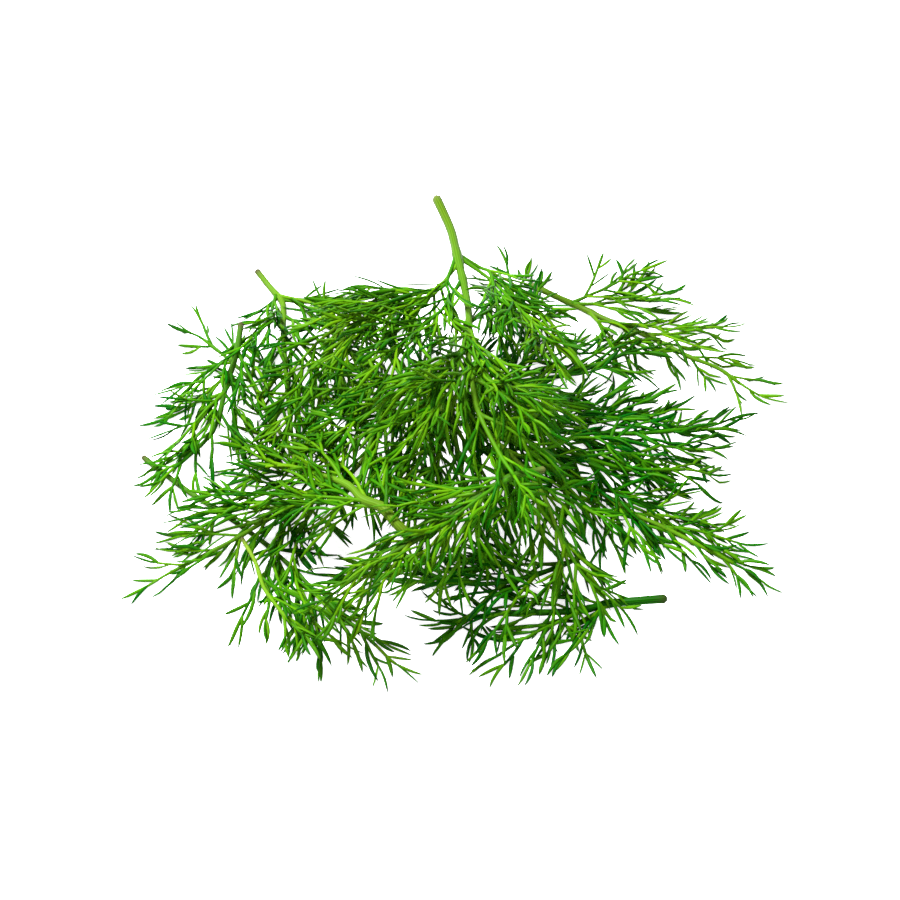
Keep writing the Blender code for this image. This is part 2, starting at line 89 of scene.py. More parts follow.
SPRIGS = (
    Sprig("sprig_far_left", "middle", 7, pairs=5, reach=13, bare=0.52, thick=0.65, left=0.75,
          right=1.1,
          route=((-65, 7, 3), (-55, -2, 1), (-46, -9, 0), (-38, -16, 0), (-30, -25, 0),
                 (-24, -33, 0), (-18, -39, 0), (-14, -43, 0)),
          drawn=((0.62, ((-27, -36, 0), (-26, -40, 0))),)),
    Sprig("sprig_left_low", "middle", 1, pairs=6, reach=17, bare=0.36, thick=0.6, opening=44,
          left=0.8,
          route=((-15, 11, 0), (-21, 2, 0), (-29, -5, 0), (-37, -12, 0), (-43, -17, 0),
                 (-49, -20, 0), (-57, -24, 0)),
          drawn=((0.2, ((-28, 0, 0), (-35, 4, 0), (-40, 4, 0))),)),
    Sprig("sprig_right_low", "middle", 2, pairs=6, reach=15, bare=0.18, thick=0.6, opening=30,
          right=0.85,
          route=((25, 4, 0), (33, -4, 0), (39, -10, 0), (46, -14, 0), (53, -18, 0), (60, -22, 0))),
    Sprig("sprig_front_right", "deep", 3, pairs=5, reach=11.3, bare=0.3, thick=0.95, left=0.6,
          right=0.9,
          route=((45, -32, 4), (40, -32, 2), (34, -32, 0), (28, -34, 0), (21, -35, 0),
                 (12, -35, 0), (3, -36, 0)),
          drawn=((0.28, ((30, -36, 0), (27, -41, 0))),
                 (0.4, ((24, -37, 0), (19, -40, 0), (14, -43, 0))))),
    Sprig("sprig_back_right", "bright", 4, pairs=4, reach=12, bare=0.42, thick=0.75, opening=36,
          right=0.75,
          route=((20, 57, 4), (25, 54, 2), (30, 52, 0), (37, 47, 0), (46, 41, 0), (54, 35, 0),
                 (60, 32, 0), (65, 28, 0)),
          drawn=((0.19, ((33, 54, 2), (37, 56, 3), (41, 59, 4))),
                 (0.2, ((36, 52, 1), (41, 53, 1), (46, 53, 1))),
                 (0.28, ((36, 44, 0), (39, 38, 0))),
                 (0.55, ((51, 41, 1), (55, 41, 2), (58, 42, 2))))),
    Sprig("sprig_left_high", "middle", 5, pairs=7, reach=12, bare=0.1, thick=0.55, left=0.8,
          route=((-30, -1, 0), (-34, 9, 0), (-39, 19, 0), (-43, 28, 0), (-48, 34, 0),
                 (-54, 40, 0))),
    Sprig("sprig_back_middle", "deep", 41, pairs=5, reach=13, bare=0.1, thick=0.55,
          route=((11, 25, 0), (19, 28, 0), (28, 30, 0), (35, 32, 0), (41, 34, 0))),
    Sprig("sprig_right_middle", "deep", 6, pairs=6, reach=16, bare=0.12, thick=0.6,
          route=((16, 15, 0), (25, 13, 0), (36, 12, 0), (46, 12, 0), (57, 15, 0)),
          drawn=((0.6, ((46, 8, 0), (51, 8, 0))),)),
    Sprig("sprig_front_left", "middle", 8, pairs=3, reach=8.5, bare=0.45, thick=0.45, opening=34,
          route=((-42, -20, 0), (-39, -26, 0), (-37, -32, 0), (-34, -37, 0), (-32, -40, 0))),
    Sprig("sprig_front_inner", "deep", 9, pairs=7, reach=14, bare=0.1, thick=0.55,
          route=((28, -21, 0), (19, -27, 0), (9, -30, 0), (0, -29, 0), (-8, -23, 0),
                 (-14, -24, 0))),
    Sprig("sprig_back_inner", "deep", 10, pairs=5, reach=11, bare=0.1, thick=0.55,
          route=((-1, 15, 0), (8, 24, 0), (14, 28, 0), (18, 32, 0)),
          drawn=((0.98, ((18, 45, 2), (15, 56, 7))),)),
    Sprig("sprig_right_inner", "deep", 29, pairs=6, reach=16, bare=0.1, thick=0.55,
          route=((3, 19, 0), (16, 9, 0), (26, 2, 0), (38, -2, 0), (51, 0, 0))),
    Sprig("sprig_back_left", "middle", 11, pairs=6, reach=16, bare=0.16, thick=0.75, right=0.8,
          route=((-43, 61, 4), (-40, 57, 2), (-37, 52, 1), (-36, 39, 0), (-35, 28, 0),
                 (-34, 18, 0), (-33, 10, 0)),
          drawn=((0.17, ((-40, 50, 2), (-42, 49, 1), (-42, 48, 0))),
                 (0.19, ((-33, 52, 1), (-29, 52, 1), (-25, 53, 1))))),
    Sprig("sprig_left_outer", "middle", 12, pairs=7, reach=13, bare=0.15, thick=0.7, right=0.95,
          route=((-45, 37, 4), (-46, 30, 2), (-48, 24, 0), (-49, 16, 0), (-51, 11, 0),
                 (-55, 6, 0), (-58, 2, 0))),
    Sprig("sprig_back_centre", "middle", 13, pairs=5, reach=16, bare=0.1, thick=0.55,
          route=((1, 16, 0), (-8, 29, 0), (-14, 37, 0), (-21, 42, 0), (-26, 45, 0))),
    Sprig("sprig_left_inner", "middle", 23, pairs=5, reach=15, bare=0.1, thick=0.55,
          route=((-22, 41, 0), (-25, 28, 0), (-27, 17, 0), (-27, 7, 0), (-24, -1, 0))),
    Sprig("sprig_centre_left", "middle", 33, pairs=6, reach=16, bare=0.1, thick=0.55,
          route=((-3, 21, 0), (-10, 11, 0), (-15, 3, 0), (-17, -3, 0), (-18, -7, 0))),
    Sprig("sprig_centre", "middle", 14, pairs=7, reach=18, bare=0.05, thick=0.55,
          route=((1, 17, 0), (2, 0, 0), (4, -11, 0), (7, -19, 0), (10, -25, 0))),
    Sprig("sprig_pale_stalk", "bright", 15, pairs=4, reach=13, bare=0.36, thick=1.2,
          route=((-7, -25, 1), (-10, -22, 1), (-13, -18, 0), (-17, -16, 0), (-20, -12, 0),
                 (-27, -7, 0), (-34, -3, 0)),
          drawn=((0.22, ((-12, -17, 1), (-12, -12, 1), (-12, -7, 0))),
                 (0.28, ((-19, -17, 0), (-23, -15, 0), (-28, -14, 0))),
                 (0.38, ((-22, -15, 0), (-26, -13, 0), (-31, -12, 0))))),
    Sprig("sprig_centre_right", "bright", 16, pairs=7, reach=14, bare=0.1, thick=0.55,
          route=((7, 1, 0), (15, -7, 0), (20, -13, 0), (23, -20, 0), (25, -26, 0)),
          drawn=((0.8, ((28, -29, 1), (32, -32, 1))),)),
    Sprig("sprig_front_top", "bright", 17, pairs=7, reach=13, bare=0.15, thick=0.75, opening=32,
          left=1.15,
          route=((20, -14, 0), (13, -16, 0), (5, -21, 0), (-3, -27, 0), (-9, -31, 0),
                 (-15, -34, 0), (-20, -37, 0))),
    Sprig("sprig_top", "bright", 18, pairs=4, reach=20, bare=0.6, thick=1.15, opening=44,
          route=((-2, 78, 10), (1, 67, 8), (3, 53, 6), (5, 37, 2), (5, 16, 0), (7, -1, 0),
                 (11, -11, 0), (14, -17, 0)),
          drawn=((0.225, ((-1, 43, 4), (-8, 39, 3), (-16, 36, 1), (-24, 34, 0))),
                 (0.32, ((-1, 35, 2), (-5, 29, 1), (-9, 23, 0), (-13, 16, 0))),
                 (0.26, ((-3, 42, 2), (-8, 38, 1), (-15, 32, 0), (-20, 25, 0))),
                 (0.225, ((8, 55, 4), (10, 53, 4), (11, 44, 3), (12, 31, 1))),
                 (0.235, ((10, 51, 3), (15, 42, 2), (20, 32, 1), (23, 21, 0))),
                 (0.5, ((2, 8, 1), (-1, 4, 0))),
                 (0.5, ((9, 8, 1), (16, 4, 1), (21, 3, 0))))),
)
print(len(SPRIGS), "sprigs")

# %% [markdown]
# ## Growing one sprig
# A leaflet sets out from the stalk at an angle and leans towards the tip as it grows. In code that
# is a short walk: at every step the heading is pulled a little towards a fixed direction. Spikes
# along the leaflets use the same walk. The draws come from a generator seeded for the sprig, in a
# fixed order, so the heap is the same every time.

# %% Paths
ROUTE_STEP = 8.0  # spacing of the points along a stalk
STALK_TIP_RADIUS = 0.38
LAST_PAIR = 0.94  # share of the stalk at its last pair of leaflets
SHORTEST_LEAFLET = 7.0
LEAFLET_SIZES = (0.85, 1.12)  # of the length that the rule gives
LEAFLET_TURNS = (0.8, 1.2)  # of the sprig's opening
CLOSING = 0.25  # share by which the leaflets open less at the tip
LEAFLET_SWAY = (-25, 25)  # degrees that a pair of leaflets is turned about the stalk
LEAFLET_LIFT = (-12, 32)  # degrees that a leaflet points up from its side
LEAFLET_LEAN = (-0.1, 0.45)  # pull along the stalk
LEAFLET_DROOP = (0.05, 0.45)  # pull downwards
LEAFLET_POINTS = 3
LEAFLET_FOOT = (0.36, 0.008, 0.5)  # radius, more for each millimetre of length, and the most
LEAFLET_TIP_RADIUS = 0.3
SMALLEST_FEATHERED = 10.5  # a shorter leaflet has no spikes of its own

# Growth of the spikes along a leaflet
SPIKE_SPACING = 8.0
NO_SPIKES = 3.0  # length of a leaflet that would take no pair
SPIKE_SPAN = (0.24, 0.86)  # shares of the leaflet at its first and last pair
ONLY_PAIR = 0.45
LONGEST_SPIKE = 11.5
SHORTEST_SPIKE = 1.2
SPIKE_GROWTH = (1.5, 0.5)  # length, and more for each millimetre of the leaflet
SPIKE_TAPER = 0.45  # share by which the spikes shorten towards the tip
SPIKE_SIZES = (0.8, 1.15)
SPIKE_TURNS = (25, 42)  # degrees from the leaflet
SPIKE_ROLLS = (-50, 50)  # degrees about the leaflet
SPIKE_LEAN = 0.2
SPIKE_RADII = (0.38, 0.24)
UP = np.array((0.0, 0.0, 1.0))


def unit(vector):
    return vector / np.linalg.norm(vector)


def runs(path):
    """The length of each step of a path."""
    return np.linalg.norm(np.diff(path, axis=0), axis=1)


def distances(path):
    """How far along the path each of its points is."""
    return np.concatenate(([0.0], np.cumsum(runs(path))))


def tip_way(path):
    return unit(path[-1] - path[-2])


def smooth_path(points, spacing):
    """Points about spacing apart on a Catmull-Rom curve through the given ones."""
    points = np.array(points, float)
    ends = np.vstack((2 * points[0] - points[1], points, 2 * points[-1] - points[-2]))
    made = [points[0]]
    for a, b, c, d in zip(ends, ends[1:], ends[2:], ends[3:]):
        steps = max(1, round(np.linalg.norm(c - b) / spacing))
        for t in np.arange(1, steps + 1) / steps:
            made.append(b + 0.5 * t * (c - a + t * (2 * a - 5 * b + 4 * c - d
                                                    + t * (3 * b - a - 3 * c + d))))
    return np.array(made)


def place_on(path, share):
    """The point and the unit direction at a share of the path's length."""
    run, reached = runs(path), distances(path)
    at = share * reached[-1]
    i = min(max(int(np.searchsorted(reached, at)) - 1, 0), len(run) - 1)
    along = path[i + 1] - path[i]
    return path[i] + along * (at - reached[i]) / run[i], unit(along)


def shoot(start, heading, length, pull, points):
    """A path that sets out along heading and leans evenly towards pull."""
    made = [start]
    for k in range(1, points):
        way = unit(heading + pull * (k - 0.5) / (points - 1))
        made.append(made[-1] + way * length / (points - 1))
    return np.array(made)


def beside(way, roll):
    """The unit vector square to way, on its left and turned up by roll."""
    across = unit(np.cross(UP, way))
    return across * math.cos(roll) + np.cross(way, across) * math.sin(roll)


def parted(way, turn, roll, side):
    """way, turned to its left (side 1) or right (side -1), in the plane that roll gives."""
    return way * math.cos(turn) + beside(way, roll) * side * math.sin(turn)


route = smooth_path(SPRIGS[-1].route, ROUTE_STEP)
print("the longest stalk:", len(route), "points,", round(runs(route).sum()), "mm")


# %% Leaflets and spikes
class Branch(NamedTuple):
    """A tapering piece of a sprig: points (n, 3) and a radius at each, both in millimetres."""

    kind: str  # stalk, leaflet, small leaflet or spike
    path: np.ndarray
    radii: np.ndarray


def leaflets(sprig, stalk, chance):
    """The paths of a sprig's leaflets: pairs that shorten towards the tip, then the drawn ones."""
    made = []
    for i in range(sprig.pairs):
        t = i / (sprig.pairs - 1)
        size = sprig.reach * (1 - t) + SHORTEST_LEAFLET * t
        start, way = place_on(stalk, sprig.bare + (LAST_PAIR - sprig.bare) * t)
        sway = chance.uniform(*LEAFLET_SWAY)
        for side, share in ((1, sprig.left), (-1, sprig.right)):
            length = share * size * chance.uniform(*LEAFLET_SIZES)
            roll = math.radians(sway + side * chance.uniform(*LEAFLET_LIFT))
            turn = math.radians(sprig.opening * chance.uniform(*LEAFLET_TURNS)
                                * (1 - CLOSING * t))
            pull = way * chance.uniform(*LEAFLET_LEAN) - UP * chance.uniform(*LEAFLET_DROOP)
            made.append(shoot(start, parted(way, turn, roll, side), length, pull, LEAFLET_POINTS))
    for share, points in sprig.drawn:
        start, _ = place_on(stalk, share)
        made.append(smooth_path((start, *points), ROUTE_STEP))
    return made


def along_leaflet(length, spacing):
    """Where pairs stand along a leaflet of that length, and how long each is: (share, length)."""
    pairs = max(1, round((length - NO_SPIKES) / spacing))
    first, last = SPIKE_SPAN
    least, more = SPIKE_GROWTH
    made = []
    for k in range(pairs):
        share = first + (last - first) * k / (pairs - 1) if pairs > 1 else ONLY_PAIR
        reach = min(LONGEST_SPIKE, least + more * length) * (1 - SPIKE_TAPER * share)
        made.append((share, reach + SHORTEST_SPIKE))
    return made


def spikes(leaflet, chance):
    """Pairs of spikes along a leaflet, long near its foot and short near its tip."""
    made = []
    for share, size in along_leaflet(runs(leaflet).sum(), SPIKE_SPACING):
        start, way = place_on(leaflet, share)
        for side in (1, -1):
            reach = size * chance.uniform(*SPIKE_SIZES)
            turn = math.radians(chance.uniform(*SPIKE_TURNS))
            roll = math.radians(chance.uniform(*SPIKE_ROLLS))
            made.append(shoot(start, parted(way, turn, roll, side), reach, SPIKE_LEAN * way, 2))
    return made


def grow(sprig):
    """All branches of a sprig, with heights measured from the surface that it will lie on."""
    chance = random.Random(sprig.seed)
    stalk = smooth_path(sprig.route, ROUTE_STEP)
    made = [Branch("stalk", stalk, np.linspace(sprig.thick, STALK_TIP_RADIUS, len(stalk)))]
    least, more, most = LEAFLET_FOOT
    for path in leaflets(sprig, stalk, chance):
        length = runs(path).sum()
        if length < SMALLEST_FEATHERED:
            made.append(Branch("small leaflet", path[[0, -1]], np.array(SPIKE_RADII)))
            continue
        foot = min(most, least + more * length)
        made.append(Branch("leaflet", path, np.linspace(foot, LEAFLET_TIP_RADIUS, len(path))))
        made += [Branch("spike", way, np.array(SPIKE_RADII)) for way in spikes(path, chance)]
    return made


grown = [grow(sprig) for sprig in SPRIGS]
print(sum(len(branches) for branches in grown), "coarse branches")

# %% [markdown]
# ## Laying the sprigs down
# A real sprig drops until its lowest points touch what is under it, and sags between them. A rigid
# body simulation could do that, but thousands of thin crossing threads make one slow and jumpy.
# Here each sprig in turn rests on a height field: every point needs to clear the floor and the
# sprigs below it, the field is the gentlest surface over all those needs, and the sprig is draped
# on it. It is quick, it gives the same heap every time, and it keeps the sprigs apart.

# %% Height field
CLEARANCE = 0.35  # kept between two sprigs
FALL = 0.45  # steepest way down from a support, as height over distance
CREST = 7.0  # rounding of a sprig's sag over a support
CELL = 3.0  # spacing of the height field that a sprig rests on
SAMPLE = 1.2  # spacing of the points that are tested for contact
INSIDE = 1.001  # how many cells a place is kept from the far edge of the field


def sampled(branches):
    """Points and radii about SAMPLE apart along all the branches."""
    points, radii = [], []
    for branch in branches:
        run = distances(branch.path)
        at = np.linspace(0, run[-1], max(2, math.ceil(run[-1] / SAMPLE) + 1))
        at = np.union1d(at, run)
        points.append(np.stack([np.interp(at, run, branch.path[:, i]) for i in range(3)], 1))
        radii.append(np.interp(at, run, branch.radii))
    return np.vstack(points), np.concatenate(radii)


class Surface:
    """A height field in plan that a sprig lies on: it spans the supports and sags between them."""

    def __init__(self, supports, heights):
        self.low = np.floor(supports[:, :2].min(axis=0)) - CELL
        count = np.ceil((supports[:, :2].max(axis=0) + CELL - self.low) / CELL).astype(int) + 1
        x = self.low[0] + CELL * np.arange(count[0])
        y = self.low[1] + CELL * np.arange(count[1])
        self.height = np.full((len(x), len(y)), -np.inf)
        for (sx, sy), top in zip(supports[:, :2], heights):
            away = np.sqrt((x[:, None] - sx) ** 2 + (y[None, :] - sy) ** 2 + CREST**2) - CREST
            self.height = np.maximum(self.height, top - FALL * away)
        for _ in range(2):
            self.height = self.blurred(self.blurred(self.height).T).T

    @staticmethod
    def blurred(field):
        padded = np.vstack((field[:1], field, field[-1:]))
        return 0.25 * padded[:-2] + 0.5 * field + 0.25 * padded[2:]

    def at(self, points):
        place = (points[:, :2] - self.low) / CELL
        place = np.clip(place, 0, np.array(self.height.shape) - INSIDE)
        cell = np.clip(np.floor(place).astype(int), 0, np.array(self.height.shape) - 2)
        (i, j), (u, v) = cell.T, (place - cell).T
        near = self.height[i, j] * (1 - u) + self.height[i + 1, j] * u
        far = self.height[i, j + 1] * (1 - u) + self.height[i + 1, j + 1] * u
        return near * (1 - v) + far * v


def needed_heights(points, radii, under, under_radii):
    """The lowest height of each point that clears the floor and every sampled point under it."""
    needed = radii.copy()
    for k, (point, radius) in enumerate(zip(points, radii)):
        room = radius + under_radii + CLEARANCE
        away = np.hypot(under[:, 0] - point[0], under[:, 1] - point[1])
        tops = (under[:, 2] + room)[away < room + 0.5 * SAMPLE]
        needed[k] = max(needed[k], tops.max(initial=0.0))
    return needed


def lay_down(grown):
    """Lays each sprig on the floor and on the ones before it, and centres the heap in plan."""
    under, under_radii = np.zeros((0, 3)), np.zeros(0)
    laid, surfaces = [], []
    for branches in grown:
        points, radii = sampled(branches)
        needed = needed_heights(points, radii, under, under_radii)
        surface = Surface(points, needed - points[:, 2])
        surfaces.append(surface)
        moved = []
        for branch in branches:
            path = branch.path.copy()
            path[:, 2] += surface.at(path)
            moved.append(branch._replace(path=path))
        points, radii = sampled(moved)
        short = (needed_heights(points, radii, under, under_radii) - points[:, 2]).max()
        for branch in moved:
            branch.path[:, 2] += short
        points[:, 2] += short
        under, under_radii = np.vstack((under, points)), np.concatenate((under_radii, radii))
        laid.append(moved)
    reach = under_radii[:, None]
    middle = ((under - reach).min(axis=0) + (under + reach).max(axis=0)) / 2
    middle[2] = 0
    for branches in laid:
        for branch in branches:
            branch.path[:] -= middle
    return laid, surfaces


laid, surfaces = lay_down(grown)
for sprig, branches in list(zip(SPRIGS, laid))[::5]:
    low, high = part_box(sprig.name)
    top = max((branch.path[:, 2] + branch.radii).max() for branch in branches)
    print(f"{sprig.name}: top at {top:.1f} mm, its solid's at {high[2] / MM:.1f} mm")

# %% [markdown]
# ## The fine threads
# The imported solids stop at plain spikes. Real dill goes on: a short side stem forks into two or
# three blades, each 6 to 12 mm long, about a millimetre wide, widest in the middle and drawn out
# to a point. They could be scattered at random, but then the leaf loses its feathery order. So
# they are placed by rule on each leaflet, in pairs, and only their angles and lengths vary.
#
# A strand here is one thing to sweep later: points, a radius at each, and how old the tissue is.
# Age drives the colour, from the pale yellow-green of a stalk to the deep green of a tip.

# %% Strands
FINE_STEP = 1.3  # spacing of the points along a stalk or a leaflet
STALK, LEAFLET, SIDE_STEM, BLADE = range(4)


class Strand(NamedTuple):
    """A stem to sweep: points (n, 3) and radii in millimetres, and the tissue's age at each."""

    kind: int
    path: np.ndarray
    radii: np.ndarray
    age: np.ndarray
    cut: np.ndarray  # 1 at a cut end, 0 away from it


class Blade(NamedTuple):
    """A leaf thread: it leaves foot along aim and curves by bend, all in millimetres."""

    foot: np.ndarray
    aim: np.ndarray
    bend: np.ndarray


class Spray(NamedTuple):
    """What grows from one place on a leaflet: a side stem or none, and the blades on it."""

    start: np.ndarray
    stems: list
    blades: list


# %% [markdown]
# ### Sprays
# A spray is a side stem with one to three narrow forks, mostly to the left and to the right in
# turn. Its main line runs on into the last blade, and each side blade parts from it by 22 to 40
# degrees and then curves back to run beside it. That narrow angle is what makes dill look like
# dill, and not like fennel, whose threads spread wider. Each fork is also rolled about the stem, so
# that the leaf has depth.

# %% Blades and sprays
STEM_SPACING = 4.5  # spacing of the pairs of side stems along a leaflet
STEM_TURNS = (24, 42)  # degrees between a side stem and its leaflet
STEM_ROLLS = (-50, 50)  # degrees that a side stem stands out of the leaflet's plane
FORK_TURNS = (22, 40)  # degrees between a side blade and its stem
FORK_SHARES = ((0.42,), (0.3, 0.56), (0.22, 0.43, 0.62))  # where a spray forks on its main line
FORKS_FROM = (3.6, 5.0, 7.8)  # how long a spray is that forks once, twice and three times
BOTH_SIDES = 0.3  # share of the forks that have a blade on each side
REACH = 1.5  # length of a spray's main line, of the length that the rule gives
SHORTEST_BLADE = 6.5
LONGEST_BLADE = 12.0
SIDE_BLADES = (0.75, 1.0)  # length of a side blade, of the main line that is left
END_BLADES = (0.95, 1.2)
SPRAY_SIZES = (0.75, 1.15)
END_SPRAY = (5.0, 7.0)  # length that the rule gives at the end of a leaflet or a stalk
STEM_SHIFT = (-0.03, 0.03)  # share of the leaflet by which a side stem is out of its pair
STEM_POINTS = 4
STEM_DRIFT = 0.25  # how far a side stem leans to any side
FORK_ROLLS = (-70, 70)  # degrees that all forks of a spray are rolled about the stem
FORK_ROLL_SHIFT = (-0.5, 0.5)  # radians that one fork is rolled more
BLADE_RETURN = 0.3  # how far a blade curves back to run beside its stem
BLADE_DRIFT = 0.27  # how far it leans to any side
DROOP = (0.0, 0.15)
BLADE_ROOT = 0.25  # how far a blade starts inside its stem


def blade(foot, way, length, forward, chance):
    """A blade that leaves along way and curves a little towards forward, and a little anyhow."""
    drift = BLADE_DRIFT * beside(way, chance.uniform(0, math.tau))
    lean = BLADE_RETURN * (forward - way) + drift - chance.uniform(*DROOP) * UP
    return Blade(foot - BLADE_ROOT * way, way * length, lean * length)


def spray(start, way, length, chance):
    """A side stem with forks along it, or a single blade where it is short."""
    total = REACH * length
    forks = sum(length > least for least in FORKS_FROM)
    if forks == 0:
        return Spray(start, [], [blade(start, way, max(total, SHORTEST_BLADE), way, chance)])
    shares = FORK_SHARES[forks - 1]
    drift = STEM_DRIFT * beside(way, chance.uniform(0, math.tau)) - chance.uniform(*DROOP) * UP
    stem = shoot(start, way, shares[-1] * total, drift, STEM_POINTS)
    blades = []
    roll = math.radians(chance.uniform(*FORK_ROLLS))
    side = chance.choice((1, -1))
    for share in shares:
        foot, here = place_on(stem, share / shares[-1])
        side = -side
        for way_out in (side, -side) if chance.random() < BOTH_SIDES else (side,):
            turn = math.radians(chance.uniform(*FORK_TURNS))
            aim = parted(here, turn, roll + chance.uniform(*FORK_ROLL_SHIFT), way_out)
            size = total * (1 - share) * chance.uniform(*SIDE_BLADES)
            size = min(max(size, SHORTEST_BLADE), LONGEST_BLADE)
            blades.append(blade(foot, aim, size, here, chance))
    size = max(total * (1 - shares[-1]), SHORTEST_BLADE) * chance.uniform(*END_BLADES)
    blades.append(blade(stem[-1], tip_way(stem), size, tip_way(stem), chance))
    return Spray(start, [stem], blades)


def sprays(leaflet, chance):
    """Pairs of side stems along a leaflet, and the spray at its end."""
    made = []
    for share, size in along_leaflet(runs(leaflet).sum(), STEM_SPACING):
        for side in (1, -1):
            start, way = place_on(leaflet, share + chance.uniform(*STEM_SHIFT))
            turn = math.radians(chance.uniform(*STEM_TURNS))
            roll = math.radians(chance.uniform(*STEM_ROLLS))
            made.append(spray(start, parted(way, turn, roll, side),
                              size * chance.uniform(*SPRAY_SIZES), chance))
    made.append(spray(leaflet[-1], tip_way(leaflet), chance.uniform(*END_SPRAY), chance))
    return made


made = sprays(np.array(((0.0, 0.0, 0.0), (10.0, 0.0, 0.0), (20.0, 1.0, 0.0))), random.Random(1))
print("a 20 mm leaflet:", len(made), "sprays,", sum(len(s.blades) for s in made), "blades")

# %% [markdown]
# ### Following the sag
# The threads grow on the leaflet before it is laid down, because that is where the rule knows up
# from down. Then each spray moves with the place that it grew from, and follows the same height
# field, so it never comes off its leaflet.

# %% Draping
FLOOR = 0.42  # lowest that the middle of a blade may lie


def draped(one, before, after, surface):
    """The spray where its leaflet came to lie. before and after are the leaflet's points."""
    near = int(np.linalg.norm(before - one.start, axis=1).argmin())
    rest = surface.at(before[near][None])[0]

    def moved(points):
        points = np.atleast_2d(points)
        lowered = points + after[near] - before[near]
        lowered[:, 2] += surface.at(points) - rest
        return lowered

    stems = [moved(stem) for stem in one.stems]
    blades = []
    for foot, aim, bend in one.blades:
        halfway = foot + 0.5 * aim + 0.25 * bend
        foot, middle, tip = moved(np.array((foot, halfway, foot + aim + bend)))
        bend = 2 * (foot + tip - 2 * middle)
        blades.append(Blade(foot, tip - foot - bend, bend))
    return Spray(after[near], stems, blades)


# %% [markdown]
# ### Stems with closed ends
# A stem is swept as a tube, and a tube is open at its ends unless something closes it. Here each
# end is drawn in to a single point. A cut stalk has dried a little, so its end is rounded off in
# two more rings. All other ends are hidden inside what they grow from. A stalk is also a little
# thicker where a leaflet leaves it, and a leaflet has a small sheath at its foot.

# %% Stems
SHEATH = 0.55  # how much thicker a leaflet is at its very foot
SWELLING = 0.22  # how much thicker a stalk is where leaflets leave it
SWELLING_REACH = 1.6
CUT_REACH = 1.1  # how far a cut end is discoloured
# The rings that round a cut end off: how far out, and how wide, as shares of the stalk's radius
CUT_ROUNDING = ((0.8, 0.0), (0.65, 0.45), (0.35, 0.82))
HIDDEN_END = 0.4  # how far out the end point at a foot is, as a share of the radius there
TIP_END = 0.6
FLOOR_GAP = 0.04  # least room between a stem and the floor


def strand(kind, path, radii, ages, cut_end=False):
    """A strand with closed ends. Its age runs evenly from ages[0] to ages[1]."""
    run = distances(path)
    age = np.interp(run, (0, run[-1]), ages)
    cut = np.exp(-((run / CUT_REACH) ** 2)) if cut_end else np.zeros(len(run))
    path = path.copy()
    path[:, 2] = np.maximum(path[:, 2], radii + FLOOR_GAP)
    out = unit(path[0] - path[1])
    if cut_end:
        first = [path[0] + reach * radii[0] * out for reach, _ in CUT_ROUNDING]
        lead = [share * radii[0] for _, share in CUT_ROUNDING]
    else:
        first, lead = [path[0] + HIDDEN_END * radii[0] * out], [0.0]
    path = np.vstack((first, path, path[-1] + TIP_END * radii[-1] * tip_way(path)))
    radii = np.concatenate((lead, radii, [0.0]))
    pad = (len(lead), 1)
    return Strand(kind, path, radii, np.pad(age, pad, "edge"), np.pad(cut, pad, "edge"))


def swollen(path, radii, places):
    """The stalk's radii, raised near each place where a leaflet leaves."""
    away = np.linalg.norm(path[:, None] - np.array(places)[None], axis=2).min(axis=1)
    return radii * (1 + SWELLING * np.exp(-((away / SWELLING_REACH) ** 2)))


print("a cut end:", len(CUT_ROUNDING) - 1, "rings and its middle point")

# %% All strands of one sprig
AGE_SPANS = {STALK: (1.0, 0.3), LEAFLET: (0.4, 0.22), SIDE_STEM: (0.24, 0.18)}
STEM_RADII = (0.37, 0.32)
THREAD_SEED = 1000  # added to the sprig's seed for its threads


def finished_sprig(sprig, branches, resting, surface):
    """The sprig's strands and blades, from its coarse branches as grown and as laid."""
    chance = random.Random(THREAD_SEED + sprig.seed)
    strands, grown_here = [], []
    feet = [rest.path[0] for rest in resting if rest.kind in ("leaflet", "small leaflet")]
    for branch, rest in zip(branches, resting):
        if branch.kind == "spike":
            continue
        both = smooth_path(np.hstack((branch.path, rest.path)), FINE_STEP * math.sqrt(2))
        before, after = both[:, :3], both[:, 3:]
        if branch.kind == "small leaflet":
            way = before[-1] - before[0]
            made = [spray(before[0], unit(way), np.linalg.norm(way), chance)]
        elif branch.kind == "leaflet":
            made = sprays(before, chance)
        else:
            made = [spray(before[-1], tip_way(before), chance.uniform(*END_SPRAY), chance)]
        grown_here += [draped(one, before, after, surface) for one in made]
        if branch.kind == "small leaflet":
            continue
        radii = np.linspace(rest.radii[0], rest.radii[-1], len(after))
        if branch.kind == "stalk":
            radii = swollen(after, radii, feet)
            strands.append(strand(STALK, after, radii, AGE_SPANS[STALK], cut_end=True))
        else:
            radii = radii * (1 + SHEATH * np.exp(-distances(after) / SWELLING_REACH))
            strands.append(strand(LEAFLET, after, radii, AGE_SPANS[LEAFLET]))
    for one in grown_here:
        for stem in one.stems:
            radii = np.linspace(*STEM_RADII, len(stem))
            strands.append(strand(SIDE_STEM, stem, radii, AGE_SPANS[SIDE_STEM]))
    return strands, [blade for one in grown_here for blade in one.blades]


finished = [finished_sprig(*each) for each in zip(SPRIGS, grown, laid, surfaces)]
print(sum(len(strands) for strands, _ in finished), "stems and",
      sum(len(blades) for _, blades in finished), "blades")

# %% [markdown]
# ## The guide mesh
# Geometry Nodes can sweep all of this, if it is told where. Each sprig becomes one light guide
# mesh: a chain of edges for each stem, and a single loose point for the foot of each blade. What
# the tree needs to know, such as the girth or the way a blade grows, goes along as named
# attributes on those points.

# %% Guide mesh
def attribute(mesh, name, kind, values):
    """Stores one value for each point of the mesh."""
    made = mesh.attributes.new(name, kind, "POINT")
    field = "vector" if kind == "FLOAT_VECTOR" else "value"
    kept = np.asarray(values, np.int32 if kind == "INT" else np.float32)
    made.data.foreach_set(field, kept.ravel())


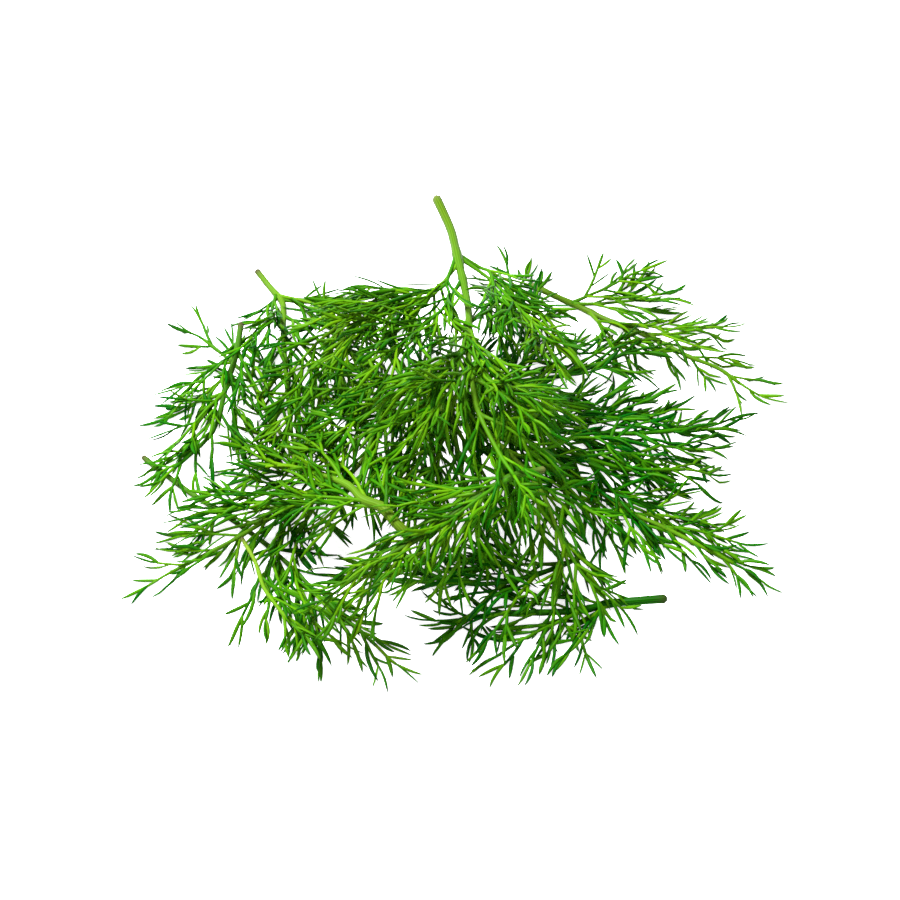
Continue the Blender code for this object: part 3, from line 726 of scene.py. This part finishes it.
BLADE_GIRTH = 0.4  # half the width of a blade where it is widest
BLADE_GIRTHS = (0.78, 1.15)
BLADE_ROLLS = (-0.8, 0.8)
BLADE_AGE = 0.2
SHADE_SEED = 2000  # added to the sprig's seed for its shades


def guide(sprig, strands, blades):
    """The guide mesh of one sprig, in metres, with the attributes that the tree reads."""
    chance = random.Random(SHADE_SEED + sprig.seed)
    points = np.vstack([one.path for one in strands] + [one.foot for one in blades])
    edges, at = [], 0
    for one in strands:
        edges += [(at + k, at + k + 1) for k in range(len(one.path) - 1)]
        at += len(one.path)
    mesh = bpy.data.meshes.new(sprig.name + "_guide")
    mesh.from_pydata(points * MM, edges, [])
    sizes = [len(one.path) for one in strands] + [1] * len(blades)
    still = np.zeros((at, 3))
    shades = [chance.random() for _ in sizes]
    girths = [BLADE_GIRTH * chance.uniform(*BLADE_GIRTHS) for _ in blades]
    rolls = [chance.uniform(*BLADE_ROLLS) for _ in blades]
    steps = [np.linspace(0, 1, len(one.path)) for one in strands]
    stems_only = np.zeros(len(blades))
    kinds = [one.kind for one in strands] + [BLADE] * len(blades)
    attribute(mesh, "kind", "INT", np.repeat(kinds, sizes))
    attribute(mesh, "cell", "INT", np.repeat(np.arange(len(sizes)), sizes))
    attribute(mesh, "shade", "FLOAT", np.repeat(shades, sizes))
    attribute(mesh, "girth", "FLOAT", MM * np.concatenate([s.radii for s in strands] + [girths]))
    attribute(mesh, "age", "FLOAT",
              np.concatenate([s.age for s in strands] + [stems_only + BLADE_AGE]))
    attribute(mesh, "cut", "FLOAT", np.concatenate([s.cut for s in strands] + [stems_only]))
    attribute(mesh, "along", "FLOAT", np.concatenate(steps + [stems_only]))
    attribute(mesh, "roll", "FLOAT", np.concatenate((still[:, 0], rolls)))
    attribute(mesh, "aim", "FLOAT_VECTOR", MM * np.vstack((still, [b.aim for b in blades])))
    attribute(mesh, "bend", "FLOAT_VECTOR", MM * np.vstack((still, [b.bend for b in blades])))
    return mesh, len(sizes)


# %% [markdown]
# ## Building trees in code
# A node tree is easier to read in code when adding a node and wiring it up is one call. This
# small bench does that for both kinds of tree used here. An input is given by its name or its
# place, and takes either a plain value or the output of another node.


# %% Node bench
class Bench:
    """Adds nodes to a tree and wires them up."""

    def __init__(self, tree):
        self.tree = tree

    def add(self, kind, inputs=None, **settings):
        """A new node, with its settings made and its inputs fed."""
        made = self.tree.nodes.new(kind)
        for name, value in settings.items():
            setattr(made, name, value)
        for key, value in (inputs or {}).items():
            if isinstance(value, bpy.types.NodeSocket):
                self.tree.links.new(value, made.inputs[key])
            else:
                made.inputs[key].default_value = value
        return made

    def out(self, kind, inputs=None, **settings):
        """The first output of a new node."""
        return self.add(kind, inputs, **settings).outputs[0]

    def math(self, operation, *values):
        return self.out("ShaderNodeMath", dict(enumerate(values)), operation=operation)

    def scaled(self, vector, size):
        return self.out("ShaderNodeVectorMath", {0: vector, "Scale": size}, operation="SCALE")

    def sum(self, first, second):
        return self.out("ShaderNodeVectorMath", {0: first, 1: second}, operation="ADD")

    def joined(self, x, y, z=0.0):
        return self.out("ShaderNodeCombineXYZ", {"X": x, "Y": y, "Z": z})

    def parts(self, vector):
        return self.add("ShaderNodeSeparateXYZ", {0: vector}).outputs

    def curve(self, value, points):
        """value, read off a smooth curve through the points."""
        made = self.add("ShaderNodeFloatCurve", {"Value": value})
        drawn = made.mapping.curves[0].points
        drawn[0].location, drawn[1].location = points[0], points[-1]
        for point in points[1:-1]:
            drawn.new(*point)
        made.mapping.update()
        return made.outputs[0]

    def named(self, name, data_type="FLOAT"):
        return self.out("GeometryNodeInputNamedAttribute", {"Name": name}, data_type=data_type)

    def store(self, geometry, name, value, data_type="FLOAT", domain="POINT"):
        return self.out("GeometryNodeStoreNamedAttribute",
                        {"Geometry": geometry, "Name": name, "Value": value},
                        data_type=data_type, domain=domain)


def new_tree(name, sizes):
    """A geometry tree with a Geometry input and output and the named inputs in sizes."""
    tree = bpy.data.node_groups.new(name, "GeometryNodeTree")
    tree.interface.new_socket("Geometry", in_out="OUTPUT", socket_type="NodeSocketGeometry")
    tree.interface.new_socket("Geometry", in_out="INPUT", socket_type="NodeSocketGeometry")
    for label, (kind, value) in sizes.items():
        socket = tree.interface.new_socket(label, in_out="INPUT", socket_type="NodeSocket" + kind)
        if value is not None:
            socket.default_value = value
    bench = Bench(tree)
    return tree, bench, bench.add("NodeGroupInput").outputs


# %% [markdown]
# ## The sweep
# A stem is a curve with a section carried along it. The section here starts as a straight line
# that is bent round into a ridged, slightly flattened outline. It is left open, with its two ends
# in one place, so that the surface can be unrolled flat: along the stem one way, around it the
# other. Every stem gets a cell of its own in a square grid, which keeps the unrolled map tidy.
# Then the seam and the poles are merged, and the tube is closed.

# %% Sweep tree
sweep, bench, given = new_tree("dill_sweep", {
    "Sides": ("Int", 6),
    "Ridges": ("Int", 2),
    "Ridge depth": ("Float", 0.1),
    "Flatness": ("Float", 1.0),
    "Columns": ("Int", 16),
})
MARGIN = 0.04  # left free at each side of a cell
SEAM = 0.0000005  # points closer than this are one
line = bench.out("GeometryNodeCurvePrimitiveLine", {"End": (1.0, 0.0, 0.0)})
outline = bench.out("GeometryNodeResampleCurve",
                    {"Curve": line, "Count": bench.math("ADD", given["Sides"], 1.0)})
around = bench.add("GeometryNodeSplineParameter").outputs["Factor"]
turn = bench.math("MULTIPLY", around, math.tau)
wave = bench.math("COSINE", bench.math("MULTIPLY", turn, given["Ridges"]))
valley = bench.math("MULTIPLY", bench.math("MULTIPLY_ADD", wave, -0.5, 0.5), given["Ridge depth"])
radius = bench.math("SUBTRACT", 1.0, valley)
across = bench.math("MULTIPLY", radius, bench.math("COSINE", turn))
upward = bench.math("MULTIPLY", radius, bench.math("SINE", turn))
place = bench.joined(across, bench.math("MULTIPLY", upward, given["Flatness"]))
bent = bench.store(outline, "around", around)
section = bench.out("GeometryNodeSetPosition", {"Geometry": bent, "Position": place})
tube = bench.out("GeometryNodeCurveToMesh", {
    "Curve": given["Geometry"], "Profile Curve": section, "Scale": bench.named("girth")})

cell = bench.named("cell")
column = bench.math("FLOORED_MODULO", cell, given["Columns"])
row = bench.math("FLOOR", bench.math("DIVIDE", cell, given["Columns"]))
unrolled = []
for share, step in ((bench.named("along"), column), (bench.named("around"), row)):
    inside = bench.math("MULTIPLY_ADD", share, 1.0 - 2.0 * MARGIN, MARGIN)
    unrolled.append(bench.math("DIVIDE", bench.math("ADD", inside, step), given["Columns"]))
strip = bench.joined(bench.named("along"), bench.named("around"))
mapped = bench.store(tube, "OFBake", bench.joined(*unrolled), "FLOAT2", "CORNER")
mapped = bench.store(mapped, "strip", strip, "FLOAT2", "CORNER")
closed = bench.out("GeometryNodeMergeByDistance", {"Geometry": mapped, "Distance": SEAM})
bench.add("NodeGroupOutput", {0: closed})
print("sweep tree:", len(sweep.nodes), "nodes")

# %% [markdown]
# ## The sprig tree
# This tree turns a guide into a sprig. It sorts the guide's points by kind. Chains of edges become
# curves and are swept: many sides and ridges for a stalk, fewer for a leaflet, six for a side stem.
# On each blade's foot it puts a straight line, which it bends by the blade's own aim and bend,
# keeps off the floor, and swells in the middle with a lens-shaped curve before the sweep.

# %% Sprig tree
sprig_tree, bench, given = new_tree("dill_sprig", {
    "Stalk sides": ("Int", 16),
    "Stalk ridge depth": ("Float", 0.14),
    "Leaflet sides": ("Int", 8),
    "Stem sides": ("Int", 6),
    "Blade rings": ("Int", 8),
    "Blade flatness": ("Float", 0.62),
    "Floor": ("Float", FLOOR * MM),
    "Columns": ("Int", 16),
    "Finish": ("Material", None),
})


def of_kind(geometry, kind):
    """Only the points of one kind."""
    same = bench.out("FunctionNodeCompare", {"A": bench.named("kind", "INT"), "B": kind},
                     data_type="INT", operation="EQUAL")
    return bench.out("GeometryNodeSeparateGeometry", {"Geometry": geometry, "Selection": same})


def swept(curves, sides, ridges, depth, flatness):
    """The closed tubes along the curves."""
    return bench.out("GeometryNodeGroup", {
        "Geometry": curves, "Sides": sides, "Ridges": ridges, "Ridge depth": depth,
        "Flatness": flatness, "Columns": given["Columns"]}, node_tree=sweep)


tubes = []
for kind, sides, ridges, depth, flatness in (
    (STALK, given["Stalk sides"], 8, given["Stalk ridge depth"], 1.0),
    (LEAFLET, given["Leaflet sides"], 4, 0.12, 0.92),
    (SIDE_STEM, given["Stem sides"], 2, 0.15, 0.9),
):
    chains = bench.out("GeometryNodeMeshToCurve", {"Mesh": of_kind(given["Geometry"], kind)})
    tubes.append(swept(chains, sides, ridges, depth, flatness))

# %% Blades of the sprig tree
RING_PLACES = ((0, 0), (0.143, 0.03), (0.43, 0.33), (0.72, 0.7), (1, 1))  # closer at the foot
LENS = ((0, 0), (0.03, 0.7), (0.2, 0.86), (0.5, 1.0), (0.75, 0.8), (0.92, 0.38), (1, 0))
feet = bench.store(of_kind(given["Geometry"], BLADE), "foot",
                   bench.out("GeometryNodeInputPosition"), "FLOAT_VECTOR")
ruled = bench.out("GeometryNodeResampleCurve", {
    "Curve": bench.out("GeometryNodeCurvePrimitiveLine"), "Count": given["Blade rings"]})
ruled = bench.store(ruled, "step", bench.add("GeometryNodeSplineParameter").outputs["Factor"])
placed = bench.out("GeometryNodeInstanceOnPoints", {"Points": feet, "Instance": ruled})
loose = bench.out("GeometryNodeRealizeInstances", {"Geometry": placed})
loose = bench.store(loose, "along", bench.curve(bench.named("step"), RING_PLACES))
along = bench.named("along")
reached = bench.sum(bench.scaled(bench.named("aim", "FLOAT_VECTOR"), along),
                    bench.scaled(bench.named("bend", "FLOAT_VECTOR"),
                                 bench.math("MULTIPLY", along, along)))
x, y, z = bench.parts(bench.sum(bench.named("foot", "FLOAT_VECTOR"), reached))
kept_up = bench.joined(x, y, bench.math("MAXIMUM", z, given["Floor"]))
blades = bench.out("GeometryNodeSetPosition", {"Geometry": loose, "Position": kept_up})
blades = bench.store(blades, "girth",
                     bench.math("MULTIPLY", bench.named("girth"), bench.curve(along, LENS)))
young = bench.math("MULTIPLY", bench.named("age"), bench.math("SUBTRACT", 1.0, along))
blades = bench.store(blades, "age", young)
blades = bench.out("GeometryNodeSetCurveNormal", {"Curve": blades}, mode="Z_UP")
blades = bench.out("GeometryNodeSetCurveTilt", {"Curve": blades, "Tilt": bench.named("roll")})
tubes.append(swept(blades, 6, 2, 0.12, given["Blade flatness"]))

joined = bench.add("GeometryNodeJoinGeometry")
for tube in tubes:
    bench.tree.links.new(tube, joined.inputs[0])
smooth = bench.out("GeometryNodeSetShadeSmooth", {"Geometry": joined.outputs[0]})
real = bench.out("GeometryNodeRealizeInstances", {"Geometry": smooth})
dressed = bench.out("GeometryNodeSetMaterial", {"Geometry": real, "Material": given["Finish"]})
bench.add("NodeGroupOutput", {0: dressed})
print("sprig tree:", len(sprig_tree.nodes), "nodes")

# %% [markdown]
# ## The leaf's finish
# Dill is a thin, waxy, slightly see-through leaf. Its colour runs from yellow-green on the stalk
# through fresh green to deep green at the tips, and no two threads are quite the same. An
# even green would look like plastic. So the age attribute picks the colour from a ramp, each
# thread's own shade makes it lighter or darker, and a soft noise in the object's coordinates adds
# mottling. Fine lines along the stem, read from its unrolled map, raise ridges in the bump, and
# lighten the ridges and darken the grooves in the colour: partly the stalk's own stripes, partly
# painted shade in the grooves. Some light passes through, which brightens a thread that lies over
# a gap.

# %% Leaf finish
# Ramps by age. Deep is partly painted shade inside the heap, bright partly painted light on top.
TONES = {
    "deep": ((0.0, (0.005, 0.050, 0.0003)), (0.06, (0.014, 0.096, 0.0005)),
             (0.25, (0.027, 0.130, 0.0008)), (0.6, (0.023, 0.112, 0.0005)),
             (1.0, (0.017, 0.100, 0.0003))),
    "middle": ((0.0, (0.008, 0.066, 0.0003)), (0.06, (0.020, 0.122, 0.0007)),
               (0.25, (0.040, 0.162, 0.0012)), (0.6, (0.063, 0.170, 0.006)),
               (1.0, (0.088, 0.188, 0.012))),
    "bright": ((0.0, (0.012, 0.080, 0.0004)), (0.06, (0.028, 0.135, 0.0008)),
               (0.25, (0.050, 0.175, 0.0015)), (0.6, (0.066, 0.160, 0.008)),
               (1.0, (0.057, 0.126, 0.005))),
}
CUTS = {"deep": (0.020, 0.045, 0.006), "middle": (0.055, 0.055, 0.020),
        "bright": (0.10, 0.13, 0.03)}
MOTTLE = {"Scale": 260.0, "Detail": 3.0}  # noise as fine as a thread
PATCH = {"Scale": 38.0, "Detail": 2.0}  # noise as large as a leaflet
LIGHTNESS = 0.25
SHADE_SPREAD, MOTTLE_SPREAD, PATCH_SPREAD = 0.85, 0.25, 0.40  # what is added to the lightness
HUE, PATCH_HUE, SHADE_HUE = 0.498, 0.05, -0.045  # 0.5 leaves the ramp's hue as it is
# Stripes around a stem; in the colour they lighten ridges and paint shade in grooves.
RIBS, RIB_STRIPE_AND_GROOVE_SHADE = 12, 0.26
ROUGHNESS, ROUGHNESS_SPREAD = 0.29, 0.22
GLOSS = 0.03
SEE_THROUGH = 0.19  # share of the light that passes through


def leaf_finish(tone):
    """The material of one colour group: deep partly paints shade, bright partly paints light."""
    material = bpy.data.materials.new("dill_leaf_" + tone)
    material.use_nodes = True
    tree = material.node_tree
    tree.nodes.clear()
    bench = Bench(tree)

    def attribute_value(name):
        return bench.add("ShaderNodeAttribute", attribute_name=name).outputs["Fac"]

    place = bench.add("ShaderNodeTexCoord").outputs["Object"]
    ramp = bench.add("ShaderNodeValToRGB", {"Fac": attribute_value("age")})
    stops = ramp.color_ramp.elements
    stops[0].position, stops[1].position = TONES[tone][0][0], TONES[tone][-1][0]
    stops[0].color, stops[1].color = (*TONES[tone][0][1], 1.0), (*TONES[tone][-1][1], 1.0)
    for position, colour in TONES[tone][1:-1]:
        stops.new(position).color = (*colour, 1.0)
    mottle = bench.add("ShaderNodeTexNoise", {"Vector": place, **MOTTLE}).outputs["Fac"]
    patch = bench.add("ShaderNodeTexNoise", {"Vector": place, **PATCH}).outputs["Fac"]
    shade = attribute_value("shade")
    value = bench.math("ADD", bench.math("MULTIPLY_ADD", shade, SHADE_SPREAD, LIGHTNESS),
                       bench.math("ADD", bench.math("MULTIPLY", mottle, MOTTLE_SPREAD),
                                  bench.math("MULTIPLY", patch, PATCH_SPREAD)))
    hue = bench.math("ADD", bench.math("MULTIPLY_ADD", patch, PATCH_HUE, HUE),
                     bench.math("MULTIPLY", shade, SHADE_HUE))

    # Stripes along the stem: its own stripes, with painted shade in the grooves of the bump.
    across_strip = bench.parts(bench.out("ShaderNodeUVMap", uv_map="strip"))[1]
    ribs_and_groove_shade = bench.math("SINE", bench.math("MULTIPLY", across_strip, RIBS * math.tau))
    ribs_and_groove_shade = bench.math("MULTIPLY", ribs_and_groove_shade, attribute_value("age"))
    value = bench.math("MULTIPLY_ADD", ribs_and_groove_shade, RIB_STRIPE_AND_GROOVE_SHADE, value)
    varied = bench.out("ShaderNodeHueSaturation", {
        "Hue": hue, "Value": value, "Color": ramp.outputs["Color"]})
    mixed = bench.add("ShaderNodeMix", {"Factor": attribute_value("cut"), 6: varied,
                                        7: (*CUTS[tone], 1.0)}, data_type="RGBA")
    colour = mixed.outputs[2]  # a Mix node's colour sockets are its inputs 6 and 7 and output 2
    height = bench.math("ADD", bench.math("MULTIPLY", ribs_and_groove_shade, 0.5), mottle)
    bump = bench.out("ShaderNodeBump", {"Strength": 0.25, "Distance": 0.00012, "Height": height})
    rough = bench.math("MULTIPLY_ADD", mottle, ROUGHNESS_SPREAD, ROUGHNESS)
    surface = bench.out("ShaderNodeBsdfPrincipled", {
        "Base Color": colour, "Roughness": rough, "Normal": bump, "Specular IOR Level": GLOSS})
    through = bench.out("ShaderNodeHueSaturation", {"Hue": 0.49, "Value": 1.6, "Color": colour})
    glow = bench.out("ShaderNodeBsdfTranslucent", {"Color": through})
    both = bench.out("ShaderNodeMixShader", {0: SEE_THROUGH, 1: surface, 2: glow})
    bench.add("ShaderNodeOutputMaterial", {"Surface": both})
    return material


finishes = {tone: leaf_finish(tone) for tone in TONES}
print("finishes:", ", ".join(material.name for material in finishes.values()))

# %% [markdown]
# ## Making the sprigs
# The tree runs on each guide as a modifier. Its inputs are set first, by the identifier of each
# socket. Then the evaluated result is copied out as a plain mesh, so that no modifier is left, and
# the guide's own attributes are dropped. Each finished sprig rides on the heap's one body, stands
# for its imported solid, and takes the finish of its colour group from the sprig table.


# %% Sprig pieces
def put(name, data):
    """A new object in the scene."""
    made = bpy.data.objects.new(name, data)
    bpy.context.scene.collection.objects.link(made)
    return made


def set_inputs(modifier, values):
    """Sets a tree's inputs by name on its modifier."""
    for item in modifier.node_group.interface.items_tree:
        if item.item_type == "SOCKET" and item.in_out == "INPUT" and item.name in values:
            modifier[item.identifier] = values[item.name]


GUIDE_ONLY = ("kind", "cell", "girth", "roll", "aim", "bend", "foot", "step", "around", "along")


def sprig_piece(sprig, strands, blades):
    """The finished sprig as one plain mesh object."""
    mesh, cells = guide(sprig, strands, blades)
    piece = put(sprig.name + "_leaf", mesh)
    modifier = piece.modifiers.new("grow", "NODES")
    modifier.node_group = sprig_tree
    set_inputs(modifier, {"Columns": math.ceil(math.sqrt(cells)), "Finish": finishes[sprig.tone]})
    graph = bpy.context.evaluated_depsgraph_get()
    made = bpy.data.meshes.new_from_object(piece.evaluated_get(graph))
    piece.modifiers.clear()
    piece.data = made
    made.name = piece.name
    bpy.data.meshes.remove(mesh)
    for name in GUIDE_ONLY:
        found = made.attributes.get(name)
        if found:
            made.attributes.remove(found)
    return piece


triangles = 0
for sprig, (strands, blades) in zip(SPRIGS, finished):
    piece = sprig_piece(sprig, strands, blades)
    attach(piece, "root")
    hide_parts(sprig.name)
    triangles += sum(len(face.vertices) - 2 for face in piece.data.polygons)
print(len(SPRIGS), "sprigs,", triangles, "triangles")

# %% [markdown]
# ## Floor, light and camera
# A leaf this fine reads best on a plain white surface, under soft light from all round with one
# large lamp above, so that the threads have a lit side and the heap still gets darker inside. The
# floor is a large sheet with a little light of its own, so that it looks white between the threads.
# If that light fell on the leaves too, their undersides would lose their depth, so only the
# camera's own rays get it. The camera looks down at 50 degrees through a long lens.

# %% Floor
FLOOR_SIZE = 3.0
FLOOR_GLOW = 0.75
corners = [(x * FLOOR_SIZE, y * FLOOR_SIZE, 0) for x, y in ((-1, -1), (1, -1), (1, 1), (-1, 1))]
sheet = bpy.data.meshes.new("floor")
sheet.from_pydata(corners, [], [(0, 1, 2, 3)])
material = bpy.data.materials.new("white_floor")
material.use_nodes = True
bench = Bench(material.node_tree)
seen = bench.add("ShaderNodeLightPath").outputs["Is Camera Ray"]
shader = material.node_tree.nodes["Principled BSDF"].inputs
material.node_tree.links.new(bench.math("MULTIPLY", seen, FLOOR_GLOW), shader["Emission Strength"])
for name, value in {"Base Color": (0.9, 0.9, 0.9, 1.0), "Roughness": 0.9,
                    "Specular IOR Level": 0.1, "Emission Color": (1.0, 1.0, 1.0, 1.0)}.items():
    shader[name].default_value = value
sheet.materials.append(material)
floor = put("floor", sheet)
print("floor:", 2 * FLOOR_SIZE, "m square")

# %% Light
world = bpy.data.worlds.new("studio")
bpy.context.scene.world = world
world.use_nodes = True
sky = world.node_tree.nodes["Background"].inputs
sky["Color"].default_value = (1.0, 1.0, 1.0, 1.0)
sky["Strength"].default_value = 0.64


def face(thing, place, way):
    """Puts a lamp or a camera at place, looking along way."""
    thing.location = place
    thing.rotation_euler = Vector(way).to_track_quat("-Z", "Y").to_euler()


def lamp(name, place, size, watts):
    """A square lamp that shines at the middle of the heap. Lengths are metres."""
    light = bpy.data.lights.new(name, "AREA")
    light.size = size
    light.energy = watts
    face(put(name, light), place, -np.array(place))
    print(name, watts, "W")


lamp("large_lamp", (-0.35, 0.25, 0.75), 0.3, 28.0)
lamp("front_lamp", (0.3, -0.7, 0.6), 0.4, 3.0)

# %% Camera
TARGET = np.array((-0.0009, -0.0163, 0.0132))
ELEVATION = math.radians(50.0)
DISTANCE = 0.54
VIEW_WIDTH = 0.189  # seen at the target
camera = put("camera", bpy.data.cameras.new("camera"))
bpy.context.scene.camera = camera
back = np.array((0.0, -math.cos(ELEVATION), math.sin(ELEVATION)))
face(camera, TARGET + DISTANCE * back, -back)
camera.data.lens = camera.data.sensor_width * DISTANCE / VIEW_WIDTH
camera.data.clip_start = 0.01
bpy.context.scene.view_settings.view_transform = "Standard"
print("lens: %.1f mm" % camera.data.lens)
